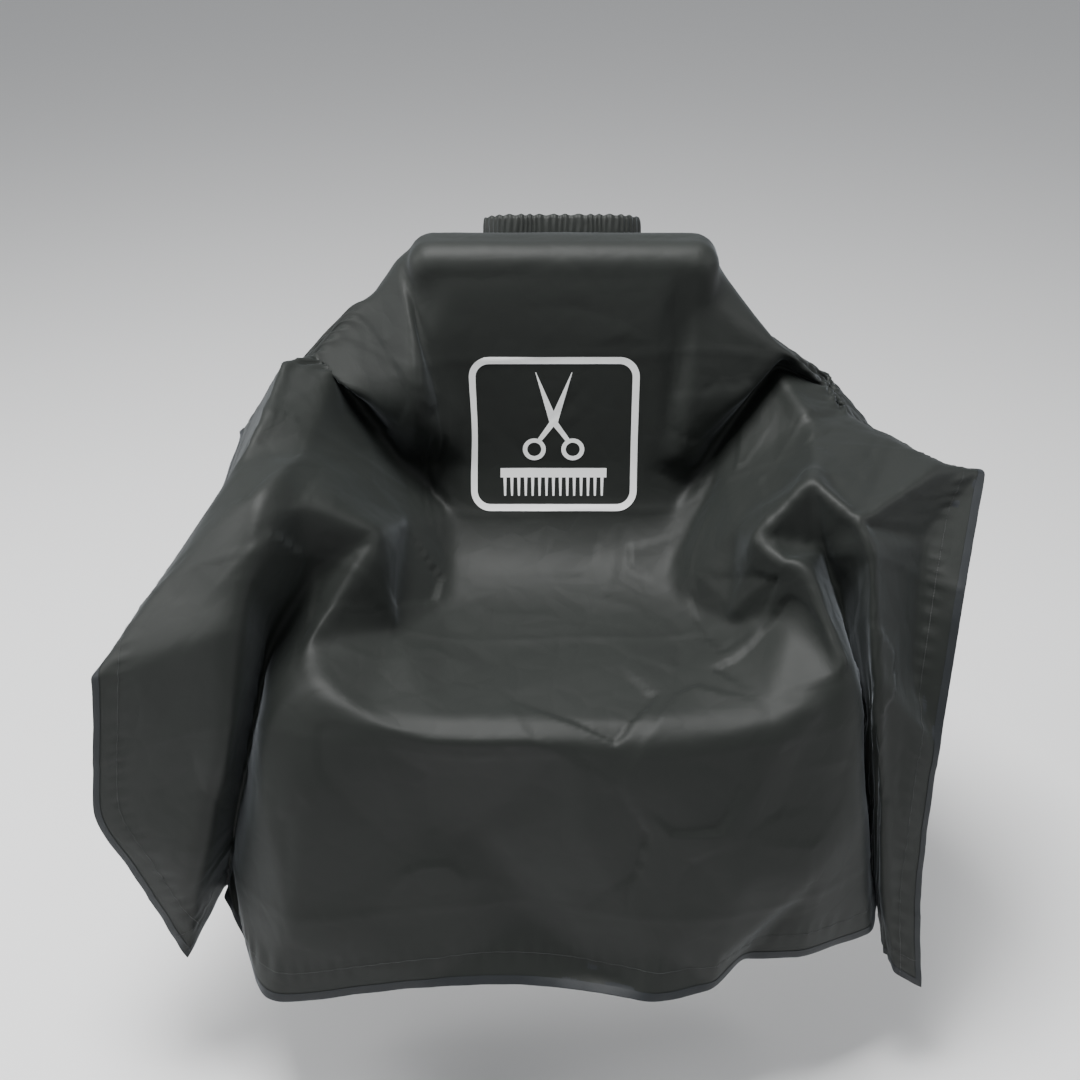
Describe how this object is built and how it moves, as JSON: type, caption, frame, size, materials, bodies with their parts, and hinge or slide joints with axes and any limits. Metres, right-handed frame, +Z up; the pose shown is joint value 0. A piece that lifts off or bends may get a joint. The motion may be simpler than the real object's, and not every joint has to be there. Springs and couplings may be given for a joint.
{
  "type": "barber cape",
  "caption": "Black nylon hair-cutting cape draped over a salon chair, with stitched hems, an elastic neck band with a snap tab, and a white chest print.",
  "frame": {"origin": "the middle of the chair back's top edge, under the cloth, where the cape hangs", "axes": "+X to the right as seen from the front, +Y towards the rear of the chair, +Z up"},
  "size_m": [1.107, 0.7191, 0.8869],
  "materials": {
    "black_nylon": "thin coated plain-weave nylon, soft sheen, sharp packing creases",
    "hem_nylon": "the same nylon folded double and lock-stitched",
    "white_ink": "flat white screen print",
    "elastic": "woven elastic tape",
    "snap_plastic": "moulded acetal snap",
    "label_weave": "blank woven label"
  },
  "bodies": {
    "cape": {"cloth_front": "black_nylon", "cloth_seat": "black_nylon", "cloth_chest": "black_nylon", "cloth_corner_left": "black_nylon", "cloth_arm_left": "black_nylon", "cloth_side_left": "black_nylon", "cloth_back_left": "black_nylon", "cloth_corner_right": "black_nylon", "cloth_arm_right": "black_nylon", "cloth_side_right": "black_nylon", "cloth_back_right": "black_nylon", "hem_front": "hem_nylon", "hem_left": "hem_nylon", "hem_rear_left": "hem_nylon", "hem_opening_left": "hem_nylon", "hem_right": "hem_nylon", "hem_rear_right": "hem_nylon", "hem_opening_right": "hem_nylon", "neck_casing": "black_nylon", "neck_elastic": "elastic", "stud_1": "snap_plastic", "stud_2": "snap_plastic", "stud_3": "snap_plastic", "stud_4": "snap_plastic", "stud_cap_1": "snap_plastic", "stud_cap_2": "snap_plastic", "stud_cap_3": "snap_plastic", "stud_cap_4": "snap_plastic", "print_frame": "white_ink", "print_comb": "white_ink", "print_scissors": "white_ink", "care_label": "label_weave"},
    "tab": {"closure_tab": "hem_nylon", "socket_1": "snap_plastic", "socket_2": "snap_plastic", "socket_cap_1": "snap_plastic", "socket_cap_2": "snap_plastic"}
  },
  "joints": [
    {"name": "closure_peel", "type": "hinge", "parent": "cape", "child": "tab", "pos_m": [0.006, 0.15683, -0.04955], "axis": [0, -0.4067, -0.9135], "range_deg": [0, 165]}
  ]
}
